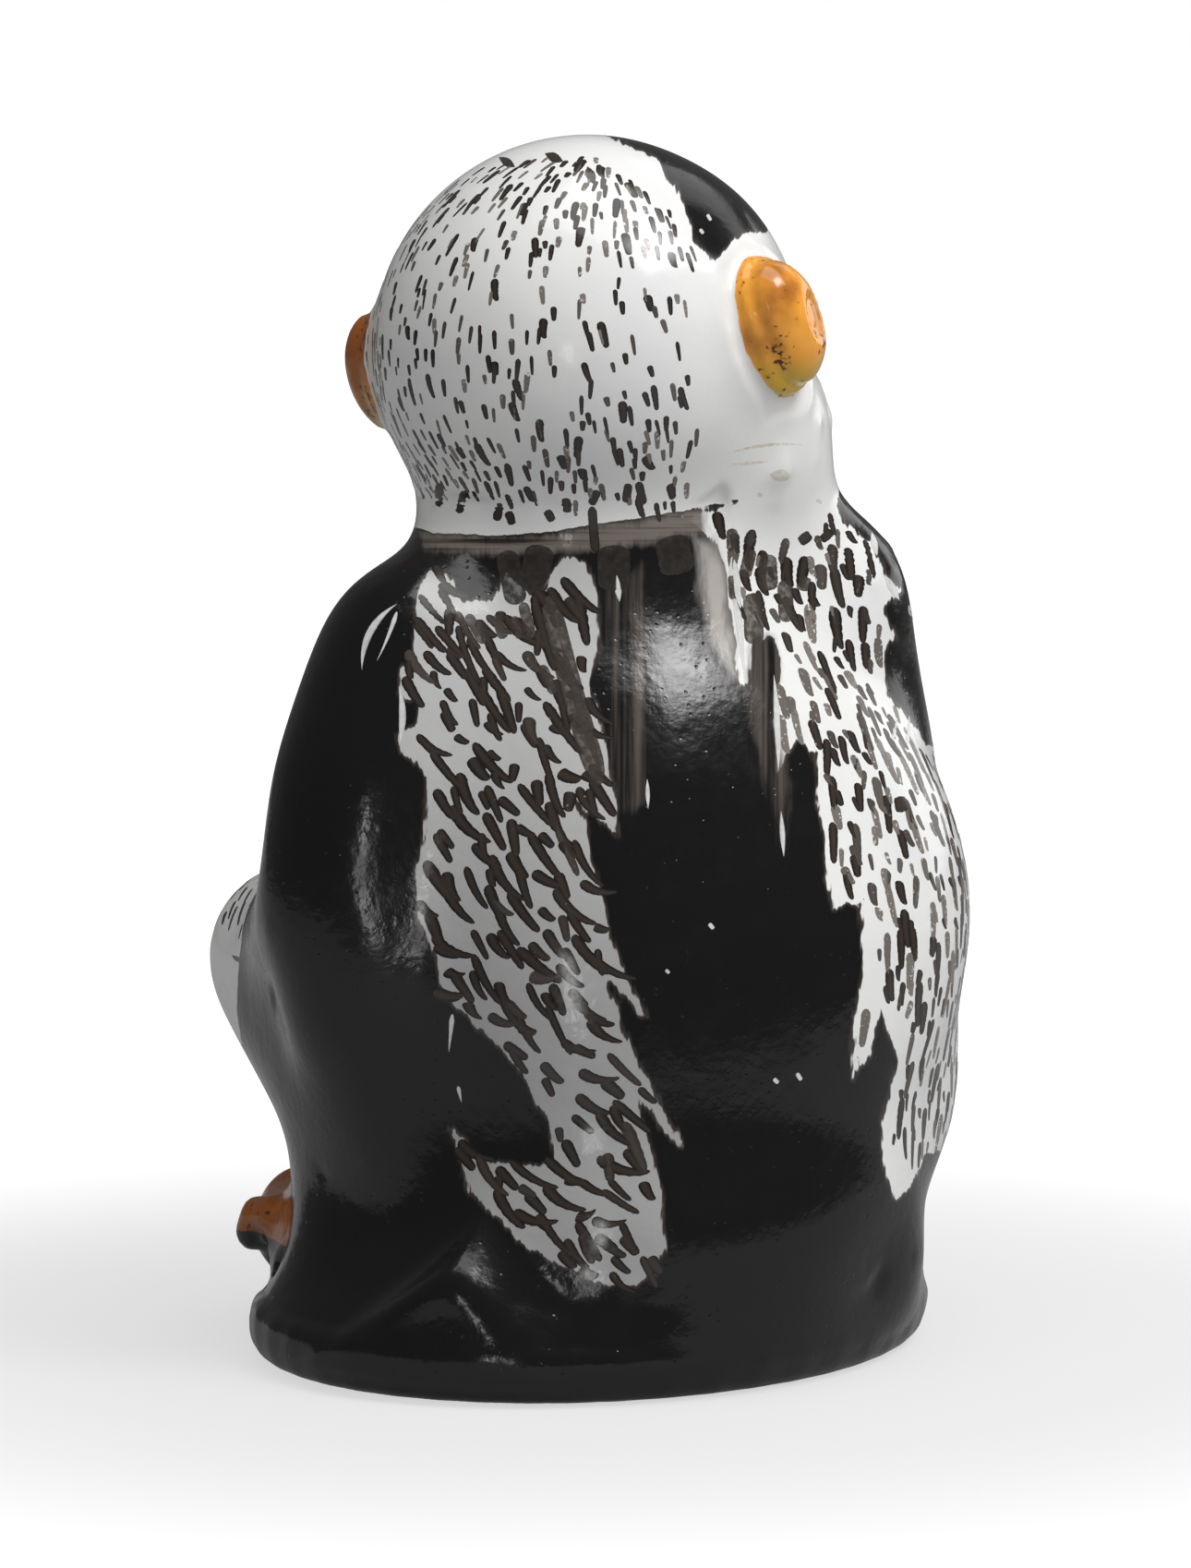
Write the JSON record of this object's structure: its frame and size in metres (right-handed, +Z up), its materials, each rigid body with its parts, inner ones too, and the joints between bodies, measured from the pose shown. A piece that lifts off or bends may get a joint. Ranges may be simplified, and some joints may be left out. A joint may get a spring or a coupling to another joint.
{
  "type": "monkey figurine",
  "caption": "Seated glazed porcelain monkey on a low oval plinth, head turned over one shoulder, with hand-painted black and white fur strokes; a free-standing shelf ornament",
  "frame": {"origin": "middle of the figure's bounding box in plan, on the plane that the foot ring stands on", "axes": "+Z up; the trunk faces -Y; the monkey's left side is +X"},
  "size_m": [0.0772, 0.0692, 0.1163],
  "materials": {
    "black_glaze": "glossy clear glaze over black underglaze paint, with white patches and brush strokes",
    "white_glaze": "glossy clear glaze over white porcelain, with grey-black brush strokes",
    "amber_glaze": "glossy clear glaze over amber-orange enamel with darker specks"
  },
  "bodies": {
    "root": {"plinth": "black_glaze", "trunk_shell": "black_glaze", "head_shell": "white_glaze", "left_ear": "amber_glaze", "right_ear": "amber_glaze", "left_arm": "black_glaze", "right_arm": "black_glaze", "left_leg": "black_glaze", "right_leg": "black_glaze", "left_hand": "amber_glaze", "right_hand": "amber_glaze", "left_foot": "black_glaze", "right_foot": "black_glaze"}
  },
  "joints": []
}
